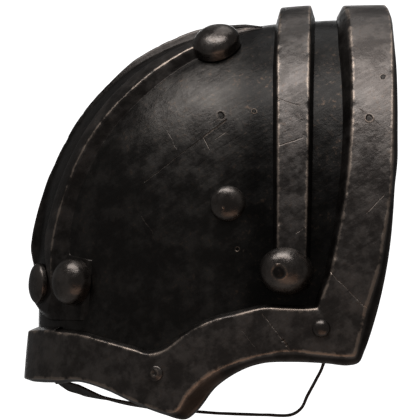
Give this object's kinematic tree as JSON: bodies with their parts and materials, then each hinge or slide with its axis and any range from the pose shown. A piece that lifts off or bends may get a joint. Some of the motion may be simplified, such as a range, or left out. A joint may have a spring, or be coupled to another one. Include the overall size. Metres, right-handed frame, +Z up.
{
  "type": "pauldron",
  "caption": "Blackened steel shoulder plate: hollow dome with raised rim, shoulder band, ridged crest straps, domed rivets and a thin leather arm strap.",
  "frame": {"origin": "the middle of the hollow on the plate's plane of symmetry, where the wearer's shoulder sits; the plate is held up there", "axes": "+X towards the neck, -Y towards the front face of the picture, +Z up; the plate mirrors across Y = 0"},
  "size_m": [0.2237, 0.2284, 0.2481],
  "materials": {
    "dome_steel": "blackened, worn satin",
    "rim_steel": "blackened with bright worn edges",
    "band_steel": "blackened with bright worn edges",
    "strap_steel": "blackened with bright worn edges",
    "rivet_steel": "blackened, rubbed bright on top",
    "leather": "matt black"
  },
  "bodies": {
    "root": {"dome_shell": "dome_steel", "rim_band": "rim_steel", "inner_band": "band_steel", "crest_strap_front": "strap_steel", "band_stud_front": "rivet_steel", "middle_stud_front": "rivet_steel", "corner_rivet_front": "rivet_steel", "ring_rivet_front": "rivet_steel", "crest_rivet_top_front": "rivet_steel", "crest_rivet_outer_front": "rivet_steel", "crest_rivet_inner_front": "rivet_steel", "crest_strap_back": "strap_steel", "band_stud_back": "rivet_steel", "middle_stud_back": "rivet_steel", "corner_rivet_back": "rivet_steel", "ring_rivet_back": "rivet_steel", "crest_rivet_top_back": "rivet_steel", "crest_rivet_outer_back": "rivet_steel", "crest_rivet_inner_back": "rivet_steel", "arm_strap": "leather"}
  },
  "joints": []
}
